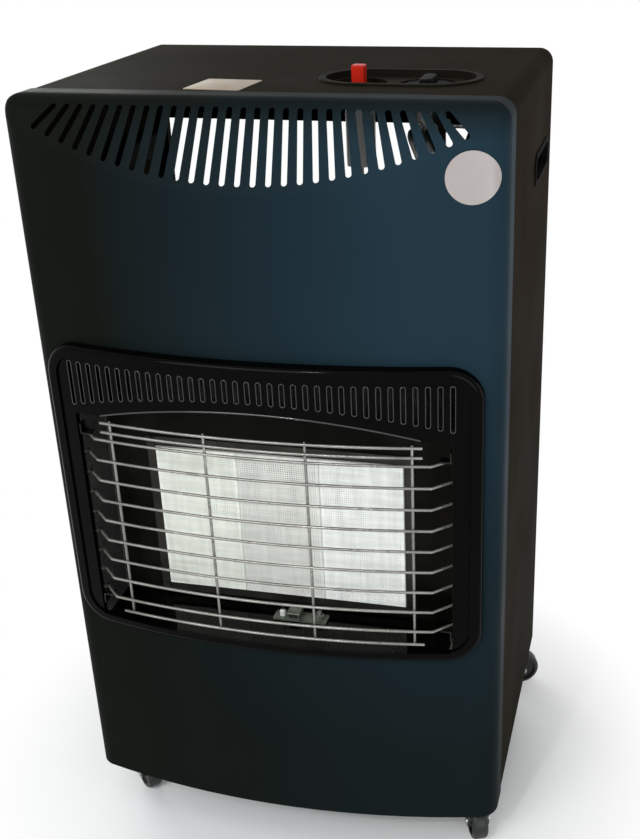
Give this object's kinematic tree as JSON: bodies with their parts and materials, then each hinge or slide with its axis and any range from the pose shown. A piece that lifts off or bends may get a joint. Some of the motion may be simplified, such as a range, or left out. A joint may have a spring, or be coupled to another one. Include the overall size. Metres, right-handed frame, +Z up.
{
  "type": "portable gas cabinet heater",
  "caption": "Portable gas cabinet heater: bowed steel front with slots, ceramic burner behind a wire guard, knob and igniter on top, cylinder bay behind, swivel casters.",
  "frame": {"origin": "on the floor under the middle of the object", "axes": "+Z up, the burner faces -Y, the controls lie towards +X"},
  "size_m": [0.4388, 0.354, 0.7398],
  "materials": {
    "casing": "satin",
    "surround": "gloss",
    "liner": "satin",
    "bright_wire": "bright",
    "plain_steel": "plain",
    "ceramic": "matte",
    "pipe": "plain",
    "brass": "plain",
    "bezel": "satin",
    "knob": "satin",
    "button": "gloss",
    "grip": "matte",
    "wheel": "matte",
    "fork": "satin",
    "lead": "matte",
    "white_plastic": "satin"
  },
  "bodies": {
    "cabinet": {"cabinet_wrap": "casing", "front_panel": "casing", "fire_surround": "surround", "firebox": "liner", "wire_guard": "bright_wire", "guard_clips": "bright_wire", "plaque_left": "ceramic", "plaque_centre": "ceramic", "plaque_right": "ceramic", "burner_frame": "liner", "burner_box": "plain_steel", "venturi_tubes": "plain_steel", "injectors": "brass", "injector_rail": "plain_steel", "rail_brackets": "plain_steel", "burner_screws": "plain_steel", "pilot_bracket": "plain_steel", "pilot_burner": "plain_steel", "ignition_electrode": "ceramic", "thermocouple": "plain_steel", "rear_frame": "plain_steel", "base_tray": "plain_steel", "heat_shield": "plain_steel", "grip_right": "grip", "grip_left": "grip", "control_bezel": "bezel", "tap_bonnet": "pipe", "gas_tap_body": "brass", "tap_spring": "plain_steel", "piezo_body": "white_plastic", "igniter_spring": "plain_steel", "inlet_nozzle": "brass", "pipe_main": "pipe", "pipe_second": "pipe", "pilot_pipe": "pipe", "thermocouple_capillary": "brass", "igniter_lead": "lead", "pipe_clips": "plain_steel", "caster_plates": "plain_steel", "caster_screws": "plain_steel"},
    "rear_cover": {"rear_cover": "casing"},
    "tap_plug": {"tap_plug": "brass"},
    "knob": {"tap_spindle": "plain_steel", "control_knob": "knob"},
    "igniter_button": {"igniter_button": "button"},
    "fork_front_right": {"caster_fork_front_right": "fork", "caster_axle_front_right": "plain_steel"},
    "wheel_front_right": {"caster_wheel_front_right": "wheel"},
    "fork_front_left": {"caster_fork_front_left": "fork", "caster_axle_front_left": "plain_steel"},
    "wheel_front_left": {"caster_wheel_front_left": "wheel"},
    "fork_rear_right": {"caster_fork_rear_right": "fork", "caster_axle_rear_right": "plain_steel"},
    "wheel_rear_right": {"caster_wheel_rear_right": "wheel"},
    "fork_rear_left": {"caster_fork_rear_left": "fork", "caster_axle_rear_left": "plain_steel"},
    "wheel_rear_left": {"caster_wheel_rear_left": "wheel"}
  },
  "joints": [
    {"name": "cover_lift", "type": "slide", "parent": "cabinet", "child": "rear_cover", "axis": [0, 1, 0], "range_m": [0, 0.12]},
    {"name": "tap_turn", "type": "hinge", "parent": "cabinet", "child": "tap_plug", "pos_m": [0.124, -0.017, 0.696], "axis": [0, 0, 1], "range_deg": [0, 210]},
    {"name": "knob_press", "type": "slide", "parent": "tap_plug", "child": "knob", "axis": [0, 0, -1], "range_m": [0, 0.004], "stiffness_N_per_m": 600, "springref_m": -0.003, "deforming": ["tap_spring"]},
    {"name": "igniter_press", "type": "slide", "parent": "cabinet", "child": "igniter_button", "axis": [0, 0, -1], "range_m": [0, 0.007], "stiffness_N_per_m": 700, "springref_m": -0.004, "deforming": ["igniter_spring"]},
    {"name": "swivel_front_right", "type": "hinge", "parent": "cabinet", "child": "fork_front_right", "pos_m": [0.182, -0.1, 0.046], "axis": [0, 0, 1], "continuous": true},
    {"name": "roll_front_right", "type": "hinge", "parent": "fork_front_right", "child": "wheel_front_right", "pos_m": [0.18874, -0.11669, 0.02], "axis": [0.9272, 0.3746, 0], "continuous": true},
    {"name": "swivel_front_left", "type": "hinge", "parent": "cabinet", "child": "fork_front_left", "pos_m": [-0.182, -0.1, 0.046], "axis": [0, 0, 1], "continuous": true},
    {"name": "roll_front_left", "type": "hinge", "parent": "fork_front_left", "child": "wheel_front_left", "pos_m": [-0.16927, -0.11273, 0.02], "axis": [0.7071, 0.7071, 0], "continuous": true},
    {"name": "swivel_rear_right", "type": "hinge", "parent": "cabinet", "child": "fork_rear_right", "pos_m": [0.182, 0.143, 0.046], "axis": [0, 0, 1], "continuous": true},
    {"name": "roll_rear_right", "type": "hinge", "parent": "fork_rear_right", "child": "wheel_rear_right", "pos_m": [0.19891, 0.14916, 0.02], "axis": [-0.342, 0.9397, 0], "continuous": true},
    {"name": "swivel_rear_left", "type": "hinge", "parent": "cabinet", "child": "fork_rear_left", "pos_m": [-0.182, 0.143, 0.046], "axis": [0, 0, 1], "continuous": true},
    {"name": "roll_rear_left", "type": "hinge", "parent": "fork_rear_left", "child": "wheel_rear_left", "pos_m": [-0.19891, 0.14916, 0.02], "axis": [-0.342, -0.9397, 0], "continuous": true}
  ]
}
